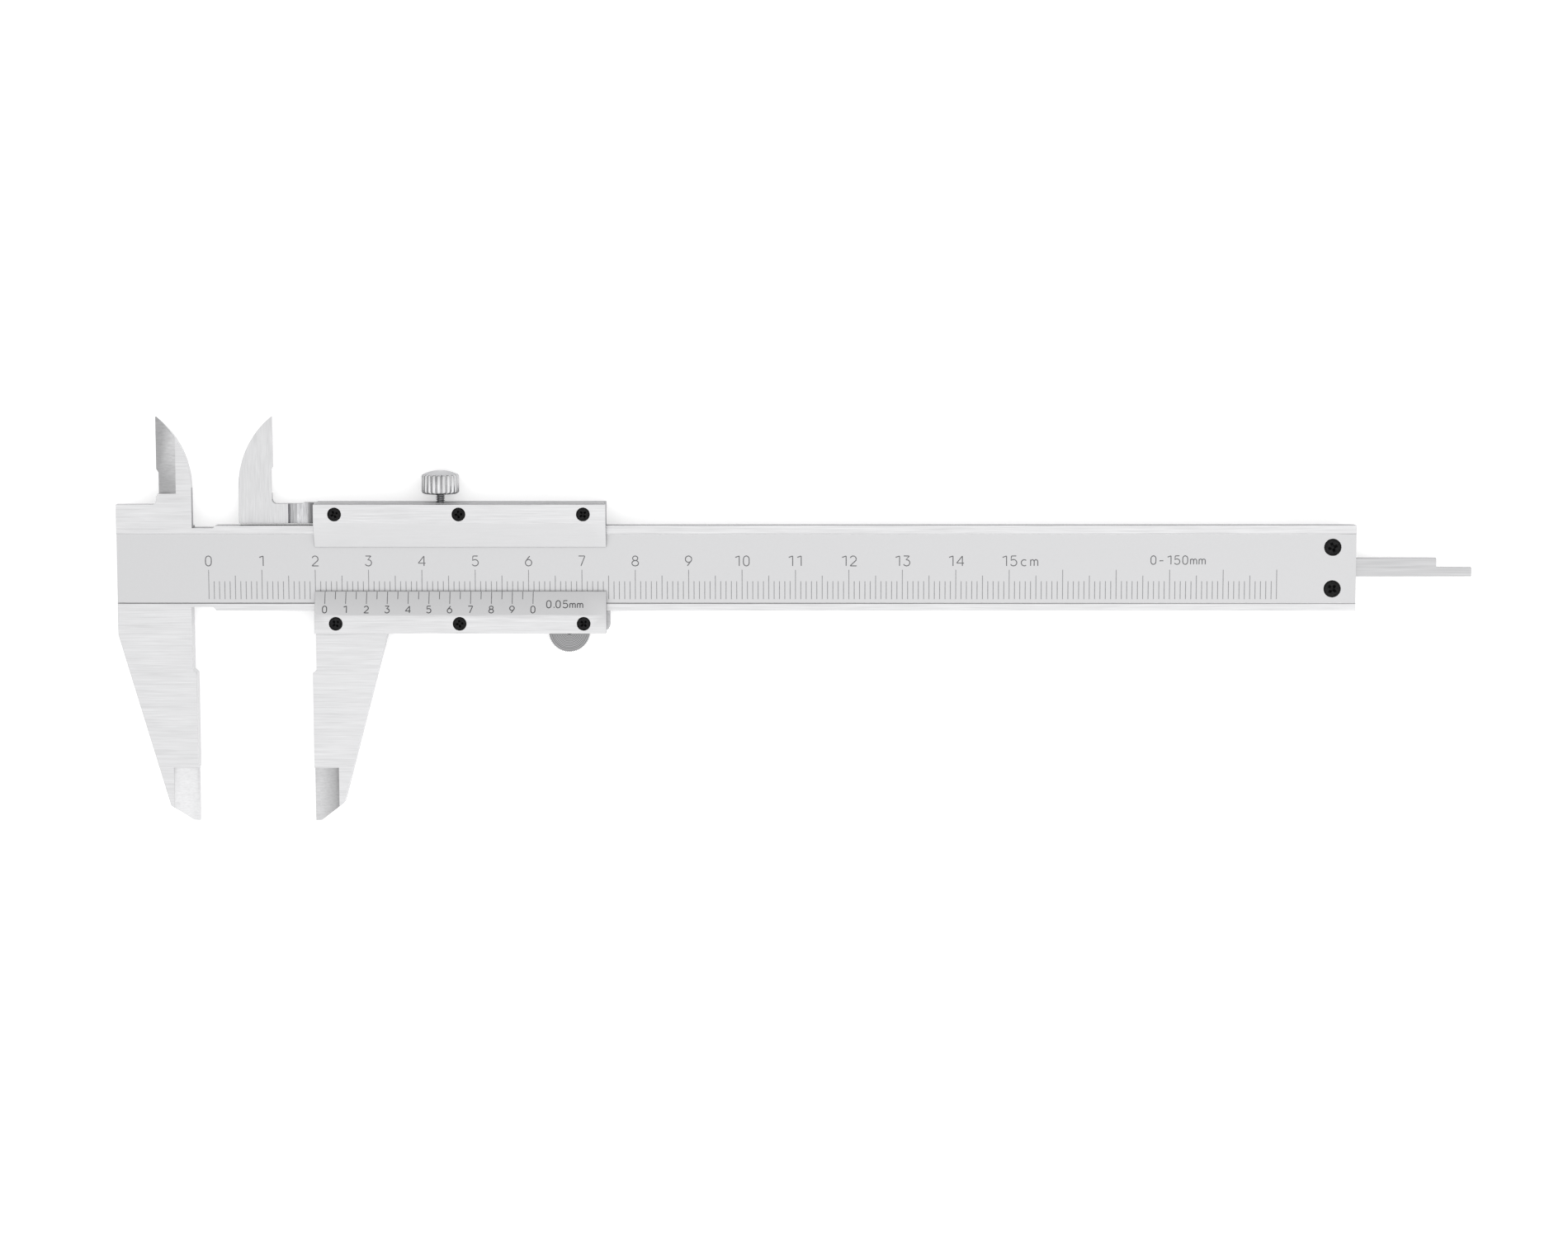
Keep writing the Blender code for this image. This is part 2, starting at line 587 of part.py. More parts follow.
def build_lock_screw(slider):
    """Knurled lock screw: its parts stand on local Z, which is turned to the slider's +Y."""
    axis = new_empty("lock_screw_axis", (LOCK_X, 0.0, 0.0), slider)
    axis.rotation_euler = (math.radians(-90), 0.0, 0.0)
    stem_top = KNOB_BOTTOM_Y + 2.0
    stem_profile = [
        (0.0, stem_top),
        (LOCK_CORE_RADIUS, stem_top),
        (LOCK_CORE_RADIUS, LOCK_TIP_Y + 0.3),
        (LOCK_CORE_RADIUS - 0.3, LOCK_TIP_Y),
        (0.0, LOCK_TIP_Y),
    ]
    finish_part(turned("lock_screw_stem", stem_profile, 20), axis, STEEL_SATIN)
    bore = LOCK_CORE_RADIUS + FIT_GAP
    dome = KNOB_TOP_Y - KNOB_SIDE_TOP_Y
    dome_radius = (KNOB_RADIUS ** 2 + dome ** 2) / (2 * dome)
    knob_profile = []
    for step in range(6):
        radius = (KNOB_RADIUS - 0.2) * step / 5
        height = KNOB_TOP_Y - dome_radius + math.sqrt(dome_radius ** 2 - radius ** 2)
        knob_profile.append((radius, height))
    knob_profile += [(KNOB_RADIUS, KNOB_SIDE_TOP_Y - 0.1), (KNOB_RADIUS, KNOB_BOTTOM_Y + 0.5)]
    knob_profile += [(KNOB_RADIUS - 0.5, KNOB_BOTTOM_Y), (bore, KNOB_BOTTOM_Y)]
    knob_profile += [(bore, stem_top + FIT_GAP), (0.0, stem_top + FIT_GAP)]
    finish_part(turned("lock_screw_knob", knob_profile, 36), axis, CHROME_BRIGHT)


def build_thumb_roller(slider):
    """Friction roller on a pin held in the slider's rear cheek."""
    axis = new_empty("roller_axis", (ROLLER_X, ROLLER_Y, 0.0), slider)
    rim = ROLLER_RADIUS
    bore = AXLE_RADIUS + 0.1
    profile = [
        (bore, ROLLER_FRONT),
        (rim - 0.25, ROLLER_FRONT),
        (rim, ROLLER_FRONT - 0.25),
        (rim, ROLLER_REAR + 0.25),
        (rim - 0.25, ROLLER_REAR),
        (bore, ROLLER_REAR),
    ]
    finish_part(turned("thumb_roller", profile, 40, ring=True), axis, STEEL_MATT)
    pin_profile = [
        (0.0, ROLLER_FRONT - 0.1),
        (AXLE_RADIUS - 0.1, ROLLER_FRONT - 0.1),
        (AXLE_RADIUS, ROLLER_FRONT - 0.2),
        (AXLE_RADIUS, BACK_WALL_REAR + 0.2),
        (0.0, BACK_WALL_REAR + 0.2),
    ]
    finish_part(turned("roller_axle_pin", pin_profile, 16), axis, STEEL_SATIN)


clear_scene()
PARTS = new_collection("vernier_caliper")
CUTTERS = new_collection("vernier_caliper_cutters")

beam_frame = new_empty("beam_frame", (0.0, -JAW_FACE_MID_Y, 0.0))
slider_frame_place = new_empty("slider_place", (OPENING, 0.0, 0.0), beam_frame)

build_beam(beam_frame)
build_end_stop(beam_frame)
build_stop_screws(beam_frame)
build_slider_frame(slider_frame_place)
cover_plate("upper_guide_plate", 1, UPPER_LIP_Y, slider_frame_place, STEEL_BRUSHED)
cover_plate("vernier_plate", -1, VERNIER_LIP_Y, slider_frame_place, STEEL_MATT)
build_plate_screws(slider_frame_place)
build_depth_rod(slider_frame_place)
build_pressure_strip(slider_frame_place)
build_lock_screw(slider_frame_place)
build_thumb_roller(slider_frame_place)
bpy.context.view_layer.update()
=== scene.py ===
"""Vernier caliper, 0-150 mm: ground and etched steel, ribbed lock screw, knurled roller."""
import math

import bmesh
import bpy
from mathutils import Matrix, Vector


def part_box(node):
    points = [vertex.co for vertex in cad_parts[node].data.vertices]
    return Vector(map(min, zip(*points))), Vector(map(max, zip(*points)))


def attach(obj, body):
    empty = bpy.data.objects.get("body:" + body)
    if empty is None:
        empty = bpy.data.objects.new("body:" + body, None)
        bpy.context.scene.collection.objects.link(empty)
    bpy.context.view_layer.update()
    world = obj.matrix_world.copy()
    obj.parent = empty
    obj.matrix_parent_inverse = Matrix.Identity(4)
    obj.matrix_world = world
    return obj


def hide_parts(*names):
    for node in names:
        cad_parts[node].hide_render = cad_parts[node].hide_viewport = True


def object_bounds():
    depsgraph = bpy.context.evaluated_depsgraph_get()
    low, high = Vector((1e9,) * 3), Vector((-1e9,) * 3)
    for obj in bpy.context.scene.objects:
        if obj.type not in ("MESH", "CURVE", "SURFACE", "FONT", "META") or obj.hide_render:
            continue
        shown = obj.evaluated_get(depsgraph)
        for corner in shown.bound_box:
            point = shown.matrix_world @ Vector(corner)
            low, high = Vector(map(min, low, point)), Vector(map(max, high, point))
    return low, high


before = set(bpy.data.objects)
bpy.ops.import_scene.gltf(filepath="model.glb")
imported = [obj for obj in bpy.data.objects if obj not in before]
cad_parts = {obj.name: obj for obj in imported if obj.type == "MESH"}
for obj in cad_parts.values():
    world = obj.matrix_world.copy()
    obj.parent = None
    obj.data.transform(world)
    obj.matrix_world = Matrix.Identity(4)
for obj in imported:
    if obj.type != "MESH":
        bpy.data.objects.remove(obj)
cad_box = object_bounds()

MM = 0.001

# ---------------------------------------------------------------- places, in mm from the frame
BEAM_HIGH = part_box("beam_with_fixed_jaws")[1] / MM
ROD_LOW, ROD_HIGH = (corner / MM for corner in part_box("depth_rod"))
LIP_LOW, LIP_HIGH = (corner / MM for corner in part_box("vernier_plate"))
KNOB_LOW, KNOB_HIGH = (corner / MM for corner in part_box("lock_screw_knob"))
STEM_LOW, STEM_HIGH = (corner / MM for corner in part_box("lock_screw_stem"))
ROLLER_LOW, ROLLER_HIGH = (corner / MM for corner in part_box("thumb_roller"))

KNOB_MIDDLE = (KNOB_LOW + KNOB_HIGH) / 2
ROLLER_MIDDLE = (ROLLER_LOW + ROLLER_HIGH) / 2

# The rod lies on the beam's centreline, and the plates start a little past the moving jaw's face.
CENTRE_Y = (ROD_LOW.y + ROD_HIGH.y) / 2
PLATE_SETBACK = 0.7
OPENING = LIP_LOW.x - PLATE_SETBACK
SCALE_RECESS = 0.2
SCALE_FACE_Z = BEAM_HIGH.z - SCALE_RECESS

# The vernier's lip slopes from its crest down to a thin edge. Y is from the beam's centreline.
PLATE_FRONT_Z = LIP_HIGH.z
LIP_CREST_Y = -8.55
LIP_EDGE_Y = LIP_HIGH.y - CENTRE_Y
LIP_EDGE_Z = 1.95

# Where one finish ends and the next begins. Y is from the beam's centreline.
NIB_TOP_Y = -37.7
BARS_HALF_WIDTH = 13.0
RECESS_HALF_WIDTH = 6.8
BLADE_START_Y = 14.0
FIXED_KNIFE_X = -3.15
MOVING_BLADE_START_Y = 8.0
ROOT_HOLLOW_LEFT = -4.45
# Past this X, the slider's right end gets painted shade.
SLIDER_END_SHADE_X = 54.6
LIP_HALF_WIDTH = 8.5

# How wide the broken outer edges are.
BEAM_EDGE = 0.05
SLIDER_EDGE = 0.04
PLATE_EDGE = 0.07
ROD_EDGE = 0.06

# Both scales start this far from the jaw faces.
SCALE_ZERO = 2.6
SCALE_LENGTH = 200
NUMBERED_CM = 15
VERNIER_STEP = 1.95
VERNIER_MARKS = 21
TICK_FOOT_Y = -5.85
CM_TICK_TOP_Y = -0.3
HALF_CM_TICK_TOP_Y = -1.4
MM_TICK_TOP_Y = -2.46
NUMBER_BASELINE_Y = 0.42
NUMBER_HEIGHT = 1.86
UNIT_GAP = 3.75
RANGE_X = 181.5
RANGE_BASELINE_Y = 0.7
RANGE_HEIGHT = 1.6
VERNIER_LONG_TICK = -2.3
VERNIER_SHORT_TICK = -1.45
VERNIER_TICK_END = -0.08
VERNIER_BASELINE = -3.92
VERNIER_NUMBER_HEIGHT = 1.32
DIVISION_X = 44.9
DIVISION_BASELINE = -3.0
DIVISION_HEIGHT = 1.4

# Etched marks stand this much proud, which keeps them clear of the face below.
MARK_PROUD = 0.008
TICK_WIDTH = 0.14
NUMBER_STROKE = 0.19
VERNIER_STROKE = 0.19


# ---------------------------------------------------------------- materials
def linear(code):
    """An sRGB hex colour as linear red, green, blue and alpha."""
    channels = [int(code[index:index + 2], 16) / 255 for index in (0, 2, 4)]
    return [c / 12.92 if c <= 0.04045 else ((c + 0.055) / 1.055) ** 2.4 for c in channels] + [1.0]


def node(tree, kind, settings=None, inputs=None):
    """Add a node; a value in inputs is either a constant or the socket that feeds it."""
    added = tree.nodes.new(kind)
    for name, value in (settings or {}).items():
        setattr(added, name, value)
    for name, value in (inputs or {}).items():
        if isinstance(value, bpy.types.NodeSocket):
            tree.links.new(value, added.inputs[name])
        else:
            added.inputs[name].default_value = value
    return added


def new_material(name):
    material = bpy.data.materials.new(name)
    material.use_nodes = True
    tree = material.node_tree
    return material, tree, tree.nodes["Principled BSDF"]


def tones(colour, change):
    """A darker and a lighter tone of an sRGB hex colour."""
    base = linear(colour)
    dark = [value * (1.0 - change) for value in base[:3]] + [1.0]
    light = [min(value * (1.0 + change), 1.0) for value in base[:3]] + [1.0]
    return dark, light


def ground_metal(name, colour, roughness, grain, metallic=1.0, contrast=0.05, bump=0.25):
    """Metal with drawn-out grain. grain is the size of one mark along X, Y and Z in millimetres."""
    material, tree, shader = new_material(name)
    place = node(tree, "ShaderNodeTexCoord").outputs["Object"]
    marks = []
    for size, detail in ((1.0, 2.0), (2.5, 1.0)):
        scale = [1.0 / (length * size * MM) for length in grain]
        turned = node(tree, "ShaderNodeMapping", inputs={"Vector": place, "Scale": scale})
        noise = node(
            tree,
            "ShaderNodeTexNoise",
            inputs={
                "Vector": turned.outputs["Vector"],
                "Scale": 1.0,
                "Detail": detail,
                "Roughness": 0.6,
            },
        )
        marks.append(noise.outputs["Fac"])
    fine_and_coarse = {"Factor": 0.35, "A": marks[0], "B": marks[1]}
    both = node(tree, "ShaderNodeMix", {"data_type": "FLOAT"}, fine_and_coarse).outputs["Result"]
    dark, light = tones(colour, 2 * contrast)
    level = node(
        tree,
        "ShaderNodeMapRange",
        inputs={"Value": both, "From Min": 0.32, "From Max": 0.68, "To Min": 0.0, "To Max": 1.0},
    )
    tint = node(
        tree,
        "ShaderNodeMix",
        {"data_type": "RGBA"},
        {"Factor": level.outputs["Result"], 6: dark, 7: light},
    )
    rough = node(
        tree,
        "ShaderNodeMapRange",
        inputs={
            "Value": both,
            "From Min": 0.3,
            "From Max": 0.7,
            "To Min": roughness * (1.0 + 3 * contrast),
            "To Max": roughness * (1.0 - 3 * contrast),
        },
    )
    relief = node(
        tree,
        "ShaderNodeBump",
        inputs={"Height": both, "Strength": bump, "Distance": 0.02 * MM},
    )
    tree.links.new(tint.outputs[2], shader.inputs["Base Color"])
    tree.links.new(rough.outputs["Result"], shader.inputs["Roughness"])
    tree.links.new(relief.outputs["Normal"], shader.inputs["Normal"])
    shader.inputs["Metallic"].default_value = metallic
    return material


def turned_metal(name, colour, roughness, centre, axis, spacing, contrast):
    """Metal with fine turned rings round an axis; centre is a point on it in millimetres."""
    material, tree, shader = new_material(name)
    place = node(tree, "ShaderNodeTexCoord").outputs["Object"]
    centred = node(
        tree,
        "ShaderNodeMapping",
        inputs={"Vector": place, "Location": [-value * MM for value in centre]},
    )
    rings = node(
        tree,
        "ShaderNodeTexWave",
        {"wave_type": "RINGS", "rings_direction": axis, "wave_profile": "SIN"},
        {
            "Vector": centred.outputs["Vector"],
            "Scale": 0.314 / (spacing * MM),
            "Distortion": 1.2,
            "Detail": 2.0,
            "Detail Scale": 2.0,
        },
    )
    dark, light = tones(colour, contrast)
    tint = node(
        tree,
        "ShaderNodeMix",
        {"data_type": "RGBA"},
        {"Factor": rings.outputs["Fac"], 6: dark, 7: light},
    )
    relief = node(
        tree,
        "ShaderNodeBump",
        inputs={"Height": rings.outputs["Fac"], "Strength": contrast, "Distance": 0.06 * MM},
    )
    # Reflections stretch across the rings, as on any lathe-turned face.
    around = node(tree, "ShaderNodeTangent", {"direction_type": "RADIAL", "axis": axis})
    tree.links.new(around.outputs["Tangent"], shader.inputs["Tangent"])
    shader.inputs["Anisotropic"].default_value = 0.8
    tree.links.new(tint.outputs[2], shader.inputs["Base Color"])
    tree.links.new(relief.outputs["Normal"], shader.inputs["Normal"])
    shader.inputs["Roughness"].default_value = roughness
    shader.inputs["Metallic"].default_value = 1.0
    return material


# Stainless steel ground along the beam: long fine scratches that catch the light in streaks.
# Real ones are about 0.02 mm wide; here and on the finishes below they are drawn coarser, to show.
BRUSHED_X = ground_metal(
    "stainless_brushed_lengthways", "C6C6C7", 0.36, (6.0, 0.1, 0.3), contrast=0.05, bump=0.18
)
# The same steel ground across, on the upright inside blade.
BRUSHED_Y = ground_metal(
    "stainless_brushed_upright", "C1C1C2", 0.36, (0.11, 3.0, 0.3), contrast=0.045, bump=0.18
)
# Edges and ends: the same steel with a duller ground skin, painted darker as shade on walls that face
# sideways.
EDGE_PAINTED_SHADE = ground_metal(
    "stainless_edges_painted_shade", "979799", 0.42, (1.6, 0.12, 0.12), contrast=0.08
)
# The hollow at the blade's root keeps the coarse upright marks of the grinding wheel, and its tone is
# painted darker as shade in the hollow.
ROOT_MARKS_AND_SHADE = ground_metal(
    "stainless_coarse_ground_root_and_shade", "BEBEC0", 0.34, (0.14, 2.2, 0.3), contrast=0.14
)
# Marks left by the wheel on the inside blades' knife edges: close, even lines on a darker face.
WHEEL_GROUND = ground_metal(
    "stainless_wheel_ground", "BDBDBE", 0.34, (8.0, 0.16, 0.3), contrast=0.05, bump=0.12
)
# The fixed jaw's nib gets a finer pass of the wheel and comes out the brightest.
NIB_GROUND = ground_metal(
    "stainless_fine_ground_nib", "C6C6C7", 0.32, (0.6, 0.14, 0.3), contrast=0.04
)
# The moving jaw's nib: the same ground steel painted darker, as painted shade on a face that turns
# away from the light.
NIB_PAINTED_SHADE = ground_metal(
    "stainless_nib_painted_shade", "BBBBBC", 0.32, (0.6, 0.14, 0.3), contrast=0.05
)
# Satin chrome of the scale face: no direction, a frosted grain that hardly shows.
SATIN_SCALE = ground_metal(
    "satin_chrome_scale_face", "C7C7C8", 0.52, (0.2, 0.2, 0.2), contrast=0.004, bump=0.02
)
# The guide plate's lip is satin too, with a faint grain along it.
SATIN_LIP = ground_metal(
    "satin_chrome_lip", "CCCCCD", 0.46, (3.0, 0.2, 0.2), contrast=0.008, bump=0.05
)
# The vernier's lip is a fine frosted chrome, and its slope makes it look darker than the beam.
SATIN_VERNIER = ground_metal(
    "matt_chrome_vernier", "D0D0D1", 0.55, (0.2, 0.2, 0.2), contrast=0.004, bump=0.02
)
# Drawn steel of the depth rod: soft lines along its length.
DRAWN_ROD = ground_metal("drawn_steel_rod", "B3B3B4", 0.4, (12.0, 0.3, 0.3), contrast=0.05)
# Black oxide on the screws: a thin dark skin with a soft sheen on the steel below.
BLACK_OXIDE = ground_metal(
    "black_oxide_steel", "101011", 0.42, (0.3, 0.3, 0.3), metallic=0.7, contrast=0.25
)
# Laser-etched marks: a grey oxide with no gloss. The lines are lighter than the lettering.
ETCHED_LINES = ground_metal(
    "etched_grey_lines", "8E8E90", 0.7, (0.2, 0.2, 0.2), metallic=0.0, contrast=0.06
)
ETCHED_NUMBERS = ground_metal(
    "etched_grey_numbers", "68686A", 0.7, (0.2, 0.2, 0.2), metallic=0.0, contrast=0.06
)
# On the vernier they are burnt deeper, which makes them darker.
ETCHED_VERNIER = ground_metal(
    "etched_dark_vernier", "4E4E50", 0.7, (0.2, 0.2, 0.2), metallic=0.0, contrast=0.06
)
# Nickel plate on the lock screw's knob: bright, with soft reflections.
BRIGHT_NICKEL = ground_metal(
    "bright_nickel_plate", "C2C2C3", 0.18, (0.5, 2.0, 0.5), contrast=0.06, bump=0.1
)
# The knob's crown is turned, and its fine rings dull the plating.
TURNED_CROWN = turned_metal(
    "turned_nickel_crown", "ACACAE", 0.3, KNOB_MIDDLE, "Y", 0.25, 0.12
)
# Cut thread: bare steel that looks darker than the knob.
CUT_THREAD = ground_metal("cut_thread_steel", "8E8E90", 0.33, (0.4, 0.2, 0.4), contrast=0.1)
# Spring bronze of the pressure strip: warm and satin.
SPRING_BRONZE = ground_metal("spring_bronze", "B9894F", 0.36, (5.0, 0.2, 0.3))
# Turned ends of the rivets and the axle pin.
TURNED_PIN = ground_metal("turned_pin_steel", "A9A9AB", 0.32, (0.25, 0.25, 0.25), contrast=0.06)
# The roller's side faces keep the lathe's rings. Real ones are 0.1 mm apart, drawn coarser to show.
TURNED_ROLLER = turned_metal("turned_steel_roller", "888889", 0.26, ROLLER_MIDDLE, "Z", 0.3, 0.3)


# ---------------------------------------------------------------- modelling helpers
def only(piece):
    """Select one object and make it active."""
    bpy.ops.object.select_all(action="DESELECT")
    piece.select_set(True)
    bpy.context.view_layer.objects.active = piece


def edit(piece):
    only(piece)
    bpy.ops.object.mode_set(mode="EDIT")


def leave_edit():
    bpy.ops.object.mode_set(mode="OBJECT")


def select_faces(piece, wanted):
    """In edit mode, select just the faces for which wanted(face) is true."""
    mesh = bmesh.from_edit_mesh(piece.data)
    bpy.ops.mesh.select_mode(type="FACE")
    for face in mesh.faces:
        face.select_set(False)
    for face in mesh.faces:
        if wanted(face):
            face.select_set(True)
    bmesh.update_edit_mesh(piece.data)


def select_edges(piece, wanted):
    """In edit mode, select just the edges for which wanted(edge) is true."""
    bpy.ops.mesh.select_mode(type="EDGE")
    mesh = bmesh.from_edit_mesh(piece.data)
    for edge in mesh.edges:
        edge.select_set(False)
    for edge in mesh.edges:
        if wanted(edge):
            edge.select_set(True)
    bmesh.update_edit_mesh(piece.data)


def apply_modifier(piece, kind, **settings):
    only(piece)
    modifier = piece.modifiers.new(kind.lower(), kind)
    for name, value in settings.items():
        setattr(modifier, name, value)
    bpy.ops.object.modifier_apply(modifier=modifier.name)


def cut_away(piece, cutter):
    """Cut one object out of another, then remove the cutter."""
    apply_modifier(piece, "BOOLEAN", operation="DIFFERENCE", solver="EXACT", object=cutter)
    bpy.data.objects.remove(cutter, do_unlink=True)


def settle(piece):
    """Put an object's place into its mesh, so that the object itself sits at the origin."""
    only(piece)
    bpy.ops.object.transform_apply(location=True, rotation=True, scale=True)
    return piece


def joined(pieces, name):
    """Join several objects into one piece."""
    bpy.ops.object.select_all(action="DESELECT")
    for piece in pieces:
        piece.select_set(True)
    bpy.context.view_layer.objects.active = pieces[0]
    bpy.ops.object.join()
    result = bpy.context.view_layer.objects.active
    result.name = name
    return result


def smooth(piece, degrees=35):
    only(piece)
    bpy.ops.object.shade_smooth_by_angle(angle=math.radians(degrees))


def stands_out(edge):
    """True on a sharp outer edge; inner corners stay sharp, as a cutter leaves them."""
    return edge.calc_face_angle_signed(0.0) > math.radians(32)


def softened_copy(name, cad_node, edge_width, cuts=()):
    """A finer copy of a CAD node: merged, flat faces joined up, and every outer edge broken.

    cuts are X places in millimetres where its faces are split, so that none goes round a hole.
    """
    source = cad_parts[cad_node]
    piece = bpy.data.objects.new(name, source.data.copy())
    bpy.context.scene.collection.objects.link(piece)
    piece.data.materials.clear()
    edit(piece)
    bpy.ops.mesh.select_all(action="SELECT")
    bpy.ops.mesh.remove_doubles(threshold=0.0005 * MM)
    bpy.ops.mesh.dissolve_limited(angle_limit=math.radians(0.3))
    for x in cuts:
        bpy.ops.mesh.select_all(action="SELECT")
        bpy.ops.mesh.bisect(
            plane_co=(x * MM, 0.0, 0.0),
            plane_no=(1.0, 0.0, 0.0),
            threshold=0.0001 * MM,
        )
    select_edges(piece, stands_out)
    bpy.ops.mesh.bevel(
        offset=edge_width * MM, segments=2, affect="EDGES", clamp_overlap=False, miter_outer="ARC"
    )
    leave_edit()
    smooth(piece, 28)
    apply_modifier(piece, "WEIGHTED_NORMAL", mode="FACE_AREA", weight=100, keep_sharp=True)
    return piece


def paint(piece, materials, choose):
    """Give a piece its materials; choose picks a face's from its centre in mm and its normal."""
    for material in materials:
        piece.data.materials.append(material)
    for face in piece.data.polygons:
        face.material_index = materials.index(choose(Vector(face.center) / MM, face.normal))


def deliver(piece, body, slot, *nodes):
    """Put a finished piece on the body it rides on and hide the CAD nodes it stands for. slot, its
    finish, is not used.
    """
    if nodes:
        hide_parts(*nodes)
    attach(piece, body)


# ---------------------------------------------------------------- beam and slider
def is_nib(centre, normal):
    """True on the hollow-ground nibs at the tips of the outside jaws."""
    low_down = centre.y - CENTRE_Y < NIB_TOP_Y
    return low_down and abs(normal.z) > 0.5 and abs(centre.z) < BEAM_HIGH.z - 0.1


def is_edge(centre, normal):
    """True on walls that stand upright, apart from the jaws' own long measuring edges. These get
    painted shade.
    """
    return abs(normal.z) < 0.3 and abs(centre.y - CENTRE_Y) < BARS_HALF_WIDTH


def finish_beam():
    """Brushed beam and jaws, with a satin scale face, walls painted darker as shade, and a bright nib.
    """
    low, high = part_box("end_stop_screw_upper")
    screw_x = (low.x + high.x) / 2 / MM
    beam = softened_copy("ground_beam_and_jaws", "beam_with_fixed_jaws", BEAM_EDGE, (screw_x,))

    def zone(centre, normal):
        y = centre.y - CENTRE_Y
        in_recess = abs(y) < RECESS_HALF_WIDTH
        if in_recess and normal.z > 0.99 and abs(centre.z - SCALE_FACE_Z) < 0.03:
            return SATIN_SCALE
        if y > BLADE_START_Y and centre.x < FIXED_KNIFE_X and 0.2 < normal.z < 0.97:
            return WHEEL_GROUND
        on_recess_edge = in_recess and 0.4 < normal.z < 0.95 and centre.z > SCALE_FACE_Z
        if on_recess_edge or is_nib(centre, normal):
            return NIB_GROUND
        return EDGE_PAINTED_SHADE if is_edge(centre, normal) else BRUSHED_X

    paint(beam, (BRUSHED_X, SATIN_SCALE, WHEEL_GROUND, NIB_GROUND, EDGE_PAINTED_SHADE), zone)
    deliver(beam, "beam", "ground_beam", "beam_with_fixed_jaws")


def finish_slider():
    """Brushed slider and jaws; its inside blade is ground upright and hollowed at the root. Its walls,
    right end and nib are painted darker as shade, and its root hollow is partly so.
    """
    slider = softened_copy("ground_slider_and_jaws", "slider_frame", SLIDER_EDGE, plate_screw_places())

    def zone(centre, normal):
        y = centre.y - CENTRE_Y
        if is_nib(centre, normal):
            return NIB_PAINTED_SHADE
        x = centre.x - OPENING
        # Near the slider's right end, the flat faces under the plates get painted shade.
        shaded_end_strip = x > SLIDER_END_SHADE_X and abs(normal.z) > 0.9 and -3.0 < centre.z < 0.0
        if shaded_end_strip or is_edge(centre, normal):
            return EDGE_PAINTED_SHADE
        if y > MOVING_BLADE_START_Y and x < PLATE_SETBACK + SLIDER_EDGE:
            if y > BLADE_START_Y and -0.97 < normal.z < -0.2:
                return WHEEL_GROUND
            return ROOT_MARKS_AND_SHADE if normal.z > 0 and x > ROOT_HOLLOW_LEFT else BRUSHED_Y
        return BRUSHED_X

    finishes = (BRUSHED_X, BRUSHED_Y, WHEEL_GROUND, NIB_PAINTED_SHADE, EDGE_PAINTED_SHADE, ROOT_MARKS_AND_SHADE)
    paint(slider, finishes, zone)
    deliver(slider, "slider", "ground_slider", "slider_frame")


def plate_screw_places():
    """X of the three screws along each plate, in millimetres."""
    boxes = [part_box(f"upper_plate_screw_{index}") for index in (1, 2, 3)]
    return [(low.x + high.x) / 2 / MM for low, high in boxes]


def plate_zone(centre, normal, lip_finish):
    """A plate's finish: its satin lip, its walls painted darker as shade and its brushed strip."""
    y = centre.y - CENTRE_Y
    guide_lip_edge = 0 < y < 5 and normal.y < -0.7
    if abs(normal.z) < 0.3 and not guide_lip_edge:
        return EDGE_PAINTED_SHADE
    return lip_finish if abs(y) < LIP_HALF_WIDTH and normal.z > -0.3 else BRUSHED_X


def finish_plates():
    for name, cad_node, lip_finish, slot in (
        ("brushed_guide_plate", "upper_guide_plate", SATIN_LIP, "brushed_guide_plate"),
        ("brushed_vernier_plate", "vernier_plate", SATIN_VERNIER, "matt_vernier_plate"),
    ):
        plate = softened_copy(name, cad_node, PLATE_EDGE, plate_screw_places())
        finishes = (BRUSHED_X, lip_finish, EDGE_PAINTED_SHADE)
        paint(plate, finishes, lambda centre, normal: plate_zone(centre, normal, lip_finish))
        deliver(plate, "slider", slot, cad_node)


def finish_rod_and_stop():
    """The depth rod, and finishes for the plain CAD parts that are kept as they are."""
    rod = softened_copy("drawn_depth_rod", "depth_rod", ROD_EDGE)
    finishes = (DRAWN_ROD, EDGE_PAINTED_SHADE)
    # Its upright walls get painted shade.
    paint(rod, finishes, lambda centre, normal: EDGE_PAINTED_SHADE if abs(normal.z) < 0.3 else DRAWN_ROD)
    deliver(rod, "slider", "depth_rod", "depth_rod")
    for name, finish in (
        ("end_stop_plate", BRUSHED_X),
        ("depth_rod_rivet_1", TURNED_PIN),
        ("depth_rod_rivet_2", TURNED_PIN),
        ("roller_axle_pin", TURNED_PIN),
        ("pressure_strip", SPRING_BRONZE),
    ):
        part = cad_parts[name]
        for material_slot in part.material_slots:
            material_slot.material = finish


# ---------------------------------------------------------------- etched scales
def rounded_tick(width, length):
    """One etched line along +Y from the origin, with broken corners."""
    bpy.ops.object.select_all(action="DESELECT")
    bpy.ops.mesh.primitive_cube_add(size=1.0, location=(0.0, length * MM / 2, 0.0))
    tick = bpy.context.active_object
    tick.scale = (width * MM, length * MM, 2 * MARK_PROUD * MM)
    settle(tick)
    edit(tick)
    select_edges(tick, lambda edge: abs(edge.verts[0].co.z - edge.verts[1].co.z) > MARK_PROUD * MM)
    bpy.ops.mesh.bevel(offset=width * 0.25 * MM, segments=1, affect="EDGES")
    leave_edit()
    return tick


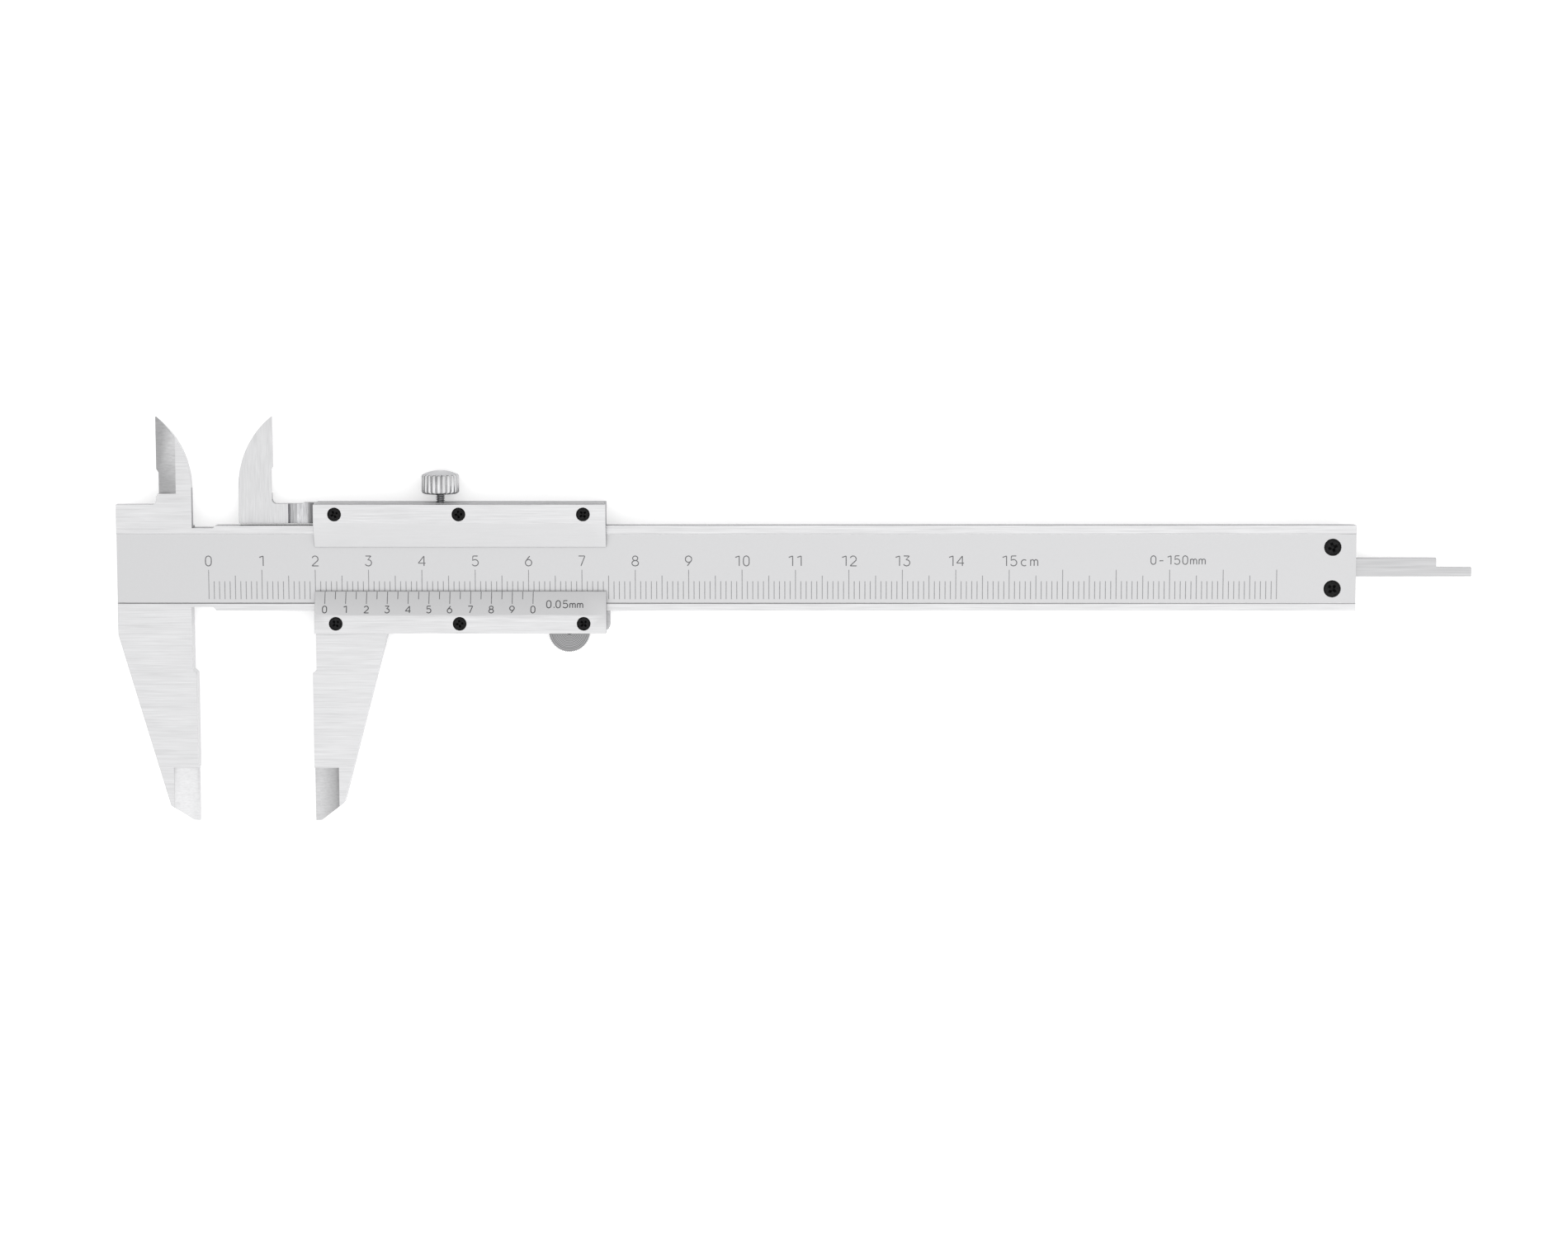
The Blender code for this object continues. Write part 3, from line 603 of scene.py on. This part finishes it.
def row_of_ticks(name, ticks, place):
    """A row of etched lines: each is (x, start, end) in mm, put in place by a matrix."""
    masters = {}
    copies = []
    for x, start, end in ticks:
        length = round(end - start, 3)
        if length not in masters:
            masters[length] = rounded_tick(TICK_WIDTH, length)
        copy = bpy.data.objects.new("tick", masters[length].data.copy())
        copy.data.transform(place @ Matrix.Translation((x * MM, start * MM, 0.0)))
        bpy.context.scene.collection.objects.link(copy)
        copies.append(copy)
    for master in masters.values():
        bpy.data.objects.remove(master, do_unlink=True)
    return joined(copies, name)


def bow(x, y, across, up, start, end, steps=14):
    """Points on part of an ellipse, angles in degrees."""
    angles = [math.radians(start + (end - start) * step / steps) for step in range(steps + 1)]
    return [(x + across * math.cos(angle), y + up * math.sin(angle)) for angle in angles]


# Single-stroke numerals in a cell one unit high and 0.7 wide, as an engraver's template has them.
STROKES = {
    "0": [
        bow(0.35, 0.66, 0.29, 0.34, 0, 180) + bow(0.35, 0.34, 0.29, 0.34, 180, 360) + [(0.64, 0.66)]
    ],
    "1": [[(0.1, 0.86), (0.5, 1.0), (0.5, 0.0)]],
    "2": [bow(0.35, 0.69, 0.3, 0.31, 160, -30) + [(0.03, 0.0), (0.7, 0.0)]],
    "3": [[(0.06, 1.0), (0.62, 1.0), (0.28, 0.62)] + bow(0.34, 0.31, 0.33, 0.31, 80, -155)],
    "4": [[(0.58, 0.0), (0.58, 1.0), (0.0, 0.28), (0.74, 0.28)]],
    "5": [[(0.62, 1.0), (0.14, 1.0), (0.09, 0.56)] + bow(0.34, 0.32, 0.33, 0.32, 120, -150)],
    "6": [[(0.48, 1.0)] + bow(0.36, 0.32, 0.32, 0.32, 150, 510, 18)],
    "7": [[(0.03, 1.0), (0.66, 1.0), (0.26, 0.0)]],
    "8": [bow(0.35, 0.77, 0.26, 0.23, -90, 270, 14), bow(0.35, 0.27, 0.33, 0.27, 90, 450, 16)],
    "9": [[(0.22, 0.0)] + bow(0.34, 0.68, 0.32, 0.32, -30, 330, 18)],
    ".": [[(0.1, 0.0), (0.1, 0.14)]],
    "-": [[(0.1, 0.42), (0.55, 0.42)]],
    "c": [bow(0.33, 0.31, 0.3, 0.31, 50, 310, 12)],
    "m": [
        [(0.02, 0.0), (0.02, 0.62)],
        [(0.02, 0.4)] + bow(0.2, 0.42, 0.18, 0.2, 150, 0, 6) + [(0.38, 0.0)],
        [(0.38, 0.4)] + bow(0.56, 0.42, 0.18, 0.2, 150, 0, 6) + [(0.74, 0.0)],
    ],
}
ADVANCE = {".": 0.3, "m": 1.0, "1": 0.86}
PLAIN_ADVANCE = 0.95


def eased(points, reach=0.06):
    """The same stroke with each sharp corner turned in small steps, which keeps its full width."""
    path = [points[0]]
    for before, corner, after in zip(points, points[1:], points[2:]):
        here = Vector(corner)
        back = Vector(before) - here
        ahead = Vector(after) - here
        long_enough = min(back.length, ahead.length) > 3 * reach
        if long_enough and back.angle(ahead) < math.radians(140):
            back = back.normalized() * reach
            ahead = ahead.normalized() * reach
            path += [tuple(here + back), tuple(here + (back + ahead) / 4), tuple(here + ahead)]
        else:
            path.append(corner)
    return path + [points[-1]]


def stroke_text(text, height, weight):
    """Single-stroke lettering as one flattened mesh, its baseline's middle at the origin."""
    curve = bpy.data.curves.new("lettering", "CURVE")
    curve.dimensions = "3D"
    curve.bevel_depth = weight * MM / 2
    curve.bevel_resolution = 1
    curve.use_fill_caps = True
    spacing = [ADVANCE.get(letter, PLAIN_ADVANCE) for letter in text]
    last_cell = 0.74 if text[-1] == "m" else 0.7
    cursor = -(sum(spacing[:-1]) + last_cell) / 2
    for letter, advance in zip(text, spacing):
        for order, points in enumerate(STROKES.get(letter, [])):
            spline = curve.splines.new("POLY")
            closed = (points[0][0] - points[-1][0]) ** 2 + (points[0][1] - points[-1][1]) ** 2 < 1e-6
            used = points[:-1] if closed else eased(points)
            spline.points.add(len(used) - 1)
            spline.use_cyclic_u = closed
            for index, (target, (u, v)) in enumerate(zip(spline.points, used)):
                # A stroke that crosses another, or itself, passes a hair above it.
                lift = 0.3 * order + (0.0 if closed else 0.25 * index / len(used))
                target.co = ((cursor + u) * height * MM, v * height * MM, lift * weight * MM, 1.0)
        cursor += advance
    label = bpy.data.objects.new("lettering", curve)
    bpy.context.scene.collection.objects.link(label)
    only(label)
    bpy.ops.object.convert(target="MESH")
    label = bpy.context.active_object
    edit(label)
    bpy.ops.mesh.select_all(action="SELECT")
    bpy.ops.mesh.remove_doubles(threshold=0.001 * MM)
    bpy.ops.mesh.normals_make_consistent(inside=False)
    leave_edit()
    label.scale = (1.0, 1.0, 2 * MARK_PROUD / weight)
    return settle(label)


def row_of_labels(name, labels, weight, place):
    """Lettering in a row: each is (text, x, baseline, height) in mm, put in place by a matrix."""
    pieces = []
    for text, x, baseline, height in labels:
        label = stroke_text(text, height, weight)
        label.data.transform(place @ Matrix.Translation((x * MM, baseline * MM, 0.0)))
        pieces.append(label)
    return joined(pieces, name)


def etch_main_scale():
    """Millimetre lines and centimetre numbers in the beam's recess."""
    face = Matrix.Translation((SCALE_ZERO * MM, CENTRE_Y * MM, SCALE_FACE_Z * MM))
    ticks = []
    for millimetre in range(SCALE_LENGTH + 1):
        top = MM_TICK_TOP_Y
        if millimetre % 5 == 0:
            top = HALF_CM_TICK_TOP_Y
        if millimetre % 10 == 0:
            top = CM_TICK_TOP_Y
        ticks.append((millimetre, TICK_FOOT_Y, top))
    scale = row_of_ticks("etched_main_scale", ticks, face)
    scale.data.materials.append(ETCHED_LINES)
    deliver(scale, "beam", "etched_marks")
    labels = []
    for number in range(NUMBERED_CM + 1):
        labels.append((str(number), 10 * number, NUMBER_BASELINE_Y, NUMBER_HEIGHT))
    labels.append(("cm", 10 * NUMBERED_CM + UNIT_GAP, NUMBER_BASELINE_Y, NUMBER_HEIGHT))
    labels.append(("0-150mm", RANGE_X, RANGE_BASELINE_Y, RANGE_HEIGHT))
    numbers = row_of_labels("etched_main_numbers", labels, NUMBER_STROKE, face)
    numbers.data.materials.append(ETCHED_NUMBERS)
    smooth(numbers)
    deliver(numbers, "beam", "etched_marks")


def etch_vernier():
    """The vernier's lines and numbers on the sloping lip."""
    run = LIP_EDGE_Y - LIP_CREST_Y
    fall = PLATE_FRONT_Z - LIP_EDGE_Z
    slope = math.atan2(fall, run)
    edge = Vector((OPENING + SCALE_ZERO, CENTRE_Y + LIP_EDGE_Y, LIP_EDGE_Z)) * MM
    face = Matrix.Translation(edge) @ Matrix.Rotation(-slope, 4, "X")
    stretch = 1.0 / math.cos(slope)
    ticks = []
    for mark in range(VERNIER_MARKS):
        depth = VERNIER_LONG_TICK if mark % 2 == 0 else VERNIER_SHORT_TICK
        ticks.append((mark * VERNIER_STEP, depth * stretch, VERNIER_TICK_END))
    scale = row_of_ticks("etched_vernier_scale", ticks, face)
    scale.data.materials.append(ETCHED_NUMBERS)
    deliver(scale, "slider", "etched_marks")
    labels = []
    for number in range(11):
        x = 2 * number * VERNIER_STEP
        labels.append((str(number % 10), x, VERNIER_BASELINE * stretch, VERNIER_NUMBER_HEIGHT))
    labels.append(("0.05mm", DIVISION_X, DIVISION_BASELINE * stretch, DIVISION_HEIGHT))
    numbers = row_of_labels("etched_vernier_numbers", labels, VERNIER_STROKE, face)
    numbers.data.materials.append(ETCHED_VERNIER)
    smooth(numbers)
    deliver(numbers, "slider", "etched_marks")


# ---------------------------------------------------------------- screws, knob, roller
HEAD_HEIGHT = 0.7
HEAD_ROUNDING = 0.2
RECESS_DEPTH = 0.62

# Shares of the head's radius.
SHANK_SHARE = 0.54
SLOT_LENGTH_SHARE = 1.3
SLOT_WIDTH_SHARE = 0.34


def cross_screw(cad_node, body, turn):
    """A black cross-recess screw that fills its CAD node's box."""
    low, high = (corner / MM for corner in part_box(cad_node))
    centre = (low + high) / 2
    radius = (high.x - low.x) / 2
    shank = radius * SHANK_SHARE
    bpy.ops.object.select_all(action="DESELECT")
    middle = (centre.x * MM, centre.y * MM, (high.z - HEAD_HEIGHT / 2) * MM)
    bpy.ops.mesh.primitive_cylinder_add(
        vertices=48,
        radius=radius * MM,
        depth=HEAD_HEIGHT * MM,
        location=middle,
    )
    screw = settle(bpy.context.active_object)
    screw.name = "black_" + cad_node
    edit(screw)
    top_z = high.z * MM
    bottom_z = (high.z - HEAD_HEIGHT) * MM
    select_faces(screw, lambda face: face.normal.z < -0.9)
    bpy.ops.mesh.inset(thickness=(radius - shank) * MM)
    bpy.ops.mesh.extrude_region_move(
        TRANSFORM_OT_translate={"value": (0.0, 0.0, low.z * MM - bottom_z)}
    )
    select_edges(screw, lambda edge: all(vert.co.z > top_z - 1e-7 for vert in edge.verts))
    bpy.ops.mesh.bevel(offset=HEAD_ROUNDING * MM, segments=4, affect="EDGES")
    select_faces(screw, lambda face: face.normal.z > 0.99 and len(face.verts) > 20)
    bpy.ops.mesh.inset(thickness=radius * 0.03 * MM)
    bpy.ops.mesh.inset(thickness=0.05 * MM, depth=-0.04 * MM)
    leave_edit()
    slot_size = Vector((radius * SLOT_LENGTH_SHARE, radius * SLOT_WIDTH_SHARE, RECESS_DEPTH)) * MM
    for quarter in range(2):
        bpy.ops.object.select_all(action="DESELECT")
        # The cutter starts just above the head.
        below = (0.0, 0.0, (0.05 - RECESS_DEPTH / 2) * MM)
        bpy.ops.mesh.primitive_cube_add(size=1.0, location=below)
        cutter = bpy.context.active_object
        cutter.scale = slot_size
        settle(cutter)
        edit(cutter)
        select_faces(cutter, lambda face: face.normal.z < -0.9)
        bpy.ops.transform.resize(value=(0.35, 0.8, 1.0), center_override=(0.0, 0.0, 0.0))
        leave_edit()
        angle = math.radians(turn + 90 * quarter)
        spot = Matrix.Translation((centre.x * MM, centre.y * MM, top_z))
        cutter.data.transform(spot @ Matrix.Rotation(angle, 4, "Z"))
        cut_away(screw, cutter)
    smooth(screw)
    screw.data.materials.append(BLACK_OXIDE)
    deliver(screw, body, "black_screws", cad_node)


def spun(name, profile, steps, axis_point, axis):
    """Spin a profile of points in metres round an axis, into a closed body."""
    mesh = bpy.data.meshes.new(name)
    mesh.from_pydata(profile, [(index, index + 1) for index in range(len(profile) - 1)], [])
    piece = bpy.data.objects.new(name, mesh)
    bpy.context.scene.collection.objects.link(piece)
    edit(piece)
    bpy.ops.mesh.select_all(action="SELECT")
    bpy.ops.mesh.spin(steps=steps, angle=2 * math.pi, center=axis_point, axis=axis)
    bpy.ops.mesh.select_all(action="SELECT")
    bpy.ops.mesh.remove_doubles(threshold=0.002 * MM)
    bpy.ops.mesh.normals_make_consistent(inside=False)
    leave_edit()
    return piece


CROWN_RISE = 0.9
STEM_CLEARANCE = 0.08
KNOB_RIBS = 20
STEPS_PER_RIB = 8
RIB_DEPTH = 0.42


def round_the_ribs(knob, centre, radius):
    """Draw the rim's points in towards the axis, so that rounded ribs meet in sharp grooves."""
    edit(knob)
    bpy.ops.mesh.select_mode(type="VERT")
    mesh = bmesh.from_edit_mesh(knob.data)
    half_rib = STEPS_PER_RIB // 2
    for step in range(1, half_rib + 1):
        part_way = step / half_rib
        inward = RIB_DEPTH * (1.0 - math.sqrt(1.0 - 0.96 * part_way ** 2))
        for vert in mesh.verts:
            out, up = vert.co.x / MM - centre.x, vert.co.z / MM - centre.z
            place = math.atan2(up, out) / (2 * math.pi) * KNOB_RIBS * STEPS_PER_RIB
            from_crest = round(place) % STEPS_PER_RIB
            from_crest = min(from_crest, STEPS_PER_RIB - from_crest)
            vert.select_set(from_crest == step and math.hypot(out, up) > radius - 0.2)
        bmesh.update_edit_mesh(knob.data)
        factor = 1.0 - inward / radius
        bpy.ops.transform.resize(value=(factor, 1.0, factor), center_override=centre * MM)
    leave_edit()


def lock_knob():
    """Nickel-plated knob: crowned top, chamfered foot and a ring of rounded ribs."""
    centre = KNOB_MIDDLE
    radius = (KNOB_HIGH.x - KNOB_LOW.x) / 2
    bore = (STEM_HIGH.x - STEM_LOW.x) / 2 + STEM_CLEARANCE
    top, bottom = KNOB_HIGH.y, KNOB_LOW.y
    crown_radius = (radius ** 2 + CROWN_RISE ** 2) / (2 * CROWN_RISE)
    outline = []
    for step in range(13):
        out = (radius - 0.36) * step / 12
        outline.append((out, top - crown_radius + math.sqrt(crown_radius ** 2 - out ** 2)))
    shoulder = outline[-1][1]
    outline += [(radius - 0.1, shoulder - 0.1), (radius, shoulder - 0.26)]
    outline += [(radius, bottom + 0.45), (radius - 0.15, bottom + 0.2), (radius - 0.5, bottom)]
    bore_end = STEM_HIGH.y + 0.1
    outline += [(bore + 0.2, bottom), (bore, bottom + 0.15), (bore, bore_end), (0.0, bore_end)]
    profile = [((centre.x + out) * MM, y * MM, centre.z * MM) for out, y in outline]
    axis_point = (centre.x * MM, centre.y * MM, centre.z * MM)
    knob = spun("ribbed_lock_knob", profile, KNOB_RIBS * STEPS_PER_RIB, axis_point, (0.0, 1.0, 0.0))
    round_the_ribs(knob, centre, radius)
    smooth(knob, 40)
    finishes = (BRIGHT_NICKEL, TURNED_CROWN)
    paint(knob, finishes, lambda centre, normal: TURNED_CROWN if normal.y > 0.8 else BRIGHT_NICKEL)
    deliver(knob, "lock_screw", "lock_screw_knob", "lock_screw_knob")


THREAD_PITCH = 0.4
THREAD_DEPTH = 0.24


def lock_thread():
    """The lock screw's stem with a true helical thread."""
    centre = (STEM_LOW + STEM_HIGH) / 2
    crest = (STEM_HIGH.x - STEM_LOW.x) / 2 - STEM_CLEARANCE
    root = crest - THREAD_DEPTH
    turns = int((STEM_HIGH.y - STEM_LOW.y - 0.1) / THREAD_PITCH) - 1
    start = STEM_LOW.y + 0.05
    outline = [(root, 0.0), (root, 0.06), (crest, 0.18), (crest, 0.22)]
    outline += [(root, 0.34), (root, THREAD_PITCH)]
    mesh = bpy.data.meshes.new("helical_lock_thread")
    points = [(out * MM, 0.0, height * MM) for out, height in outline]
    mesh.from_pydata(points, [(index, index + 1) for index in range(len(points) - 1)], [])
    thread = bpy.data.objects.new("helical_lock_thread", mesh)
    bpy.context.scene.collection.objects.link(thread)
    apply_modifier(
        thread,
        "SCREW",
        axis="Z",
        screw_offset=THREAD_PITCH * MM,
        iterations=turns,
        steps=32,
        render_steps=32,
        use_merge_vertices=True,
        merge_threshold=0.002 * MM,
    )
    edit(thread)
    bpy.ops.mesh.select_all(action="SELECT")
    bpy.ops.mesh.remove_doubles(threshold=0.002 * MM)
    bpy.ops.mesh.select_all(action="SELECT")
    bpy.ops.mesh.fill_holes(sides=0)
    bpy.ops.mesh.select_all(action="SELECT")
    bpy.ops.mesh.normals_make_consistent(inside=False)
    if bmesh.from_edit_mesh(thread.data).calc_volume(signed=True) < 0:
        bpy.ops.mesh.flip_normals()
    leave_edit()
    foot = Matrix.Translation((centre.x * MM, start * MM, centre.z * MM))
    thread.data.transform(foot @ Matrix.Rotation(math.radians(-90), 4, "X"))
    smooth(thread, 30)
    thread.data.materials.append(CUT_THREAD)
    deliver(thread, "lock_screw", "lock_screw_thread", "lock_screw_stem")


ROLLER_TEETH = 72
TOOTH_DEPTH = 0.13
RIM_WIDTH = 0.16
ROLLER_BORE = 0.54

# Steps in the roller's side faces, from the rim inwards: how wide, and how far out or in.
ROLLER_STEPS = ((0.5, -0.06), (0.9, 0.05), (0.7, -0.08))


def knurled_roller():
    """Thumb roller: straight-knurled rim, turned side faces and a bore for its pin."""
    radius = (ROLLER_HIGH.x - ROLLER_LOW.x) / 2
    thick = ROLLER_HIGH.z - ROLLER_LOW.z
    where = ROLLER_MIDDLE * MM
    bpy.ops.object.select_all(action="DESELECT")
    bpy.ops.mesh.primitive_cylinder_add(
        vertices=2 * ROLLER_TEETH,
        radius=radius * MM,
        depth=thick * MM,
        location=where,
    )
    roller = settle(bpy.context.active_object)
    roller.name = "knurled_thumb_roller"
    edit(roller)
    select_faces(roller, lambda face: abs(face.normal.z) > 0.9)
    bpy.ops.mesh.inset(thickness=RIM_WIDTH * MM)
    mesh = bmesh.from_edit_mesh(roller.data)
    bpy.ops.mesh.select_mode(type="VERT")
    for vert in mesh.verts:
        offset = vert.co - where
        angle = math.atan2(offset.y, offset.x)
        tooth = round(angle / (2 * math.pi) * 2 * ROLLER_TEETH) % 2
        on_rim = math.hypot(offset.x, offset.y) > (radius - 0.05) * MM
        vert.select_set(on_rim and tooth == 1)
    bmesh.update_edit_mesh(roller.data)
    inward = 1.0 - TOOTH_DEPTH / radius
    bpy.ops.transform.resize(value=(inward, inward, 1.0), center_override=where)
    for side in (1, -1):
        for ring, step in ROLLER_STEPS:
            select_faces(
                roller,
                lambda face: face.normal.z * side > 0.9 and len(face.verts) > 20,
            )
            bpy.ops.mesh.inset(thickness=ring * MM)
            rise = (0.0, 0.0, side * step * MM)
            bpy.ops.mesh.extrude_region_move(TRANSFORM_OT_translate={"value": rise})
    select_faces(roller, lambda face: abs(face.normal.z) > 0.9 and len(face.verts) > 20)
    ends = [face for face in bmesh.from_edit_mesh(roller.data).faces if face.select]
    now = max((vert.co - face.calc_center_median()).length for face in ends for vert in face.verts)
    bpy.ops.mesh.inset(thickness=now - ROLLER_BORE * MM)
    bpy.ops.mesh.bridge_edge_loops()
    bpy.ops.mesh.select_all(action="SELECT")
    bpy.ops.mesh.normals_make_consistent(inside=False)
    leave_edit()
    smooth(roller, 25)
    roller.data.materials.append(TURNED_ROLLER)
    deliver(roller, "roller", "thumb_roller", "thumb_roller")


# ---------------------------------------------------------------- floor, light and camera
FLOOR_SIZE = 8.0
FLOOR_GAP = 0.0001
FLOOR_GLOW = 0.35
DOME_SIDE = (0.34, -0.38, 1.2)
DOME_LIFT = 0.32
DOME_LEAST = 0.3
LENS = 77.45
EYE = (0.115, 0.05806 + CENTRE_Y * MM, 0.63025)
EYE_TURN = (-6.275, 0.415, -0.043)


def opal_floor():
    """A wide sheet of opal acrylic, lit from below so that no hard shadow forms."""
    material, _, shader = new_material("pale_opal_acrylic")
    shader.inputs["Base Color"].default_value = linear("F7F7F7")
    shader.inputs["Roughness"].default_value = 0.9
    shader.inputs["Emission Color"].default_value = linear("FFFFFF")
    shader.inputs["Emission Strength"].default_value = FLOOR_GLOW
    bpy.ops.object.select_all(action="DESELECT")
    ground = cad_box[0][2] - FLOOR_GAP
    bpy.ops.mesh.primitive_plane_add(size=FLOOR_SIZE, location=(0.1, 0.0, ground))
    floor = bpy.context.active_object
    floor.name = "pale_floor"
    floor.data.materials.append(material)


def studio():
    """A white dome, brightest overhead and to the front right, that fades to grey behind."""
    world = bpy.data.worlds.new("pale_studio")
    bpy.context.scene.world = world
    world.use_nodes = True
    tree = world.node_tree
    background = tree.nodes["Background"]
    direction = node(tree, "ShaderNodeTexCoord").outputs["Generated"]
    towards = {0: direction, 1: DOME_SIDE}
    facing = node(tree, "ShaderNodeVectorMath", {"operation": "DOT_PRODUCT"}, towards)
    lift = {0: facing.outputs["Value"], 1: DOME_LIFT}
    lifted = node(tree, "ShaderNodeMath", {"operation": "ADD"}, lift)
    at_least = {0: lifted.outputs["Value"], 1: DOME_LEAST}
    strength = node(tree, "ShaderNodeMath", {"operation": "MAXIMUM"}, at_least)
    tree.links.new(strength.outputs["Value"], background.inputs["Strength"])
    background.inputs["Color"].default_value = linear("FFFFFF")
    bpy.context.scene.view_settings.view_transform = "Standard"


def camera():
    """Nearly overhead, a little towards the inside jaws, with a long lens."""
    lens = bpy.data.cameras.new("camera")
    lens.sensor_width = 36.0
    lens.lens = LENS
    lens.clip_start = 0.01
    eye = bpy.data.objects.new("camera", lens)
    eye.location = EYE
    eye.rotation_mode = "ZXY"
    eye.rotation_euler = [math.radians(angle) for angle in EYE_TURN]
    bpy.context.scene.collection.objects.link(eye)
    bpy.context.scene.camera = eye


finish_beam()
finish_slider()
finish_plates()
finish_rod_and_stop()
etch_main_scale()
etch_vernier()
for plate, turns in (("upper_plate", (25, 5, 40)), ("vernier_plate", (38, 8, 45))):
    for index, turn in enumerate(turns):
        cross_screw(f"{plate}_screw_{index + 1}", "slider", turn)
cross_screw("end_stop_screw_upper", "beam", 20)
cross_screw("end_stop_screw_lower", "beam", 50)
lock_knob()
lock_thread()
knurled_roller()
opal_floor()
studio()
camera()
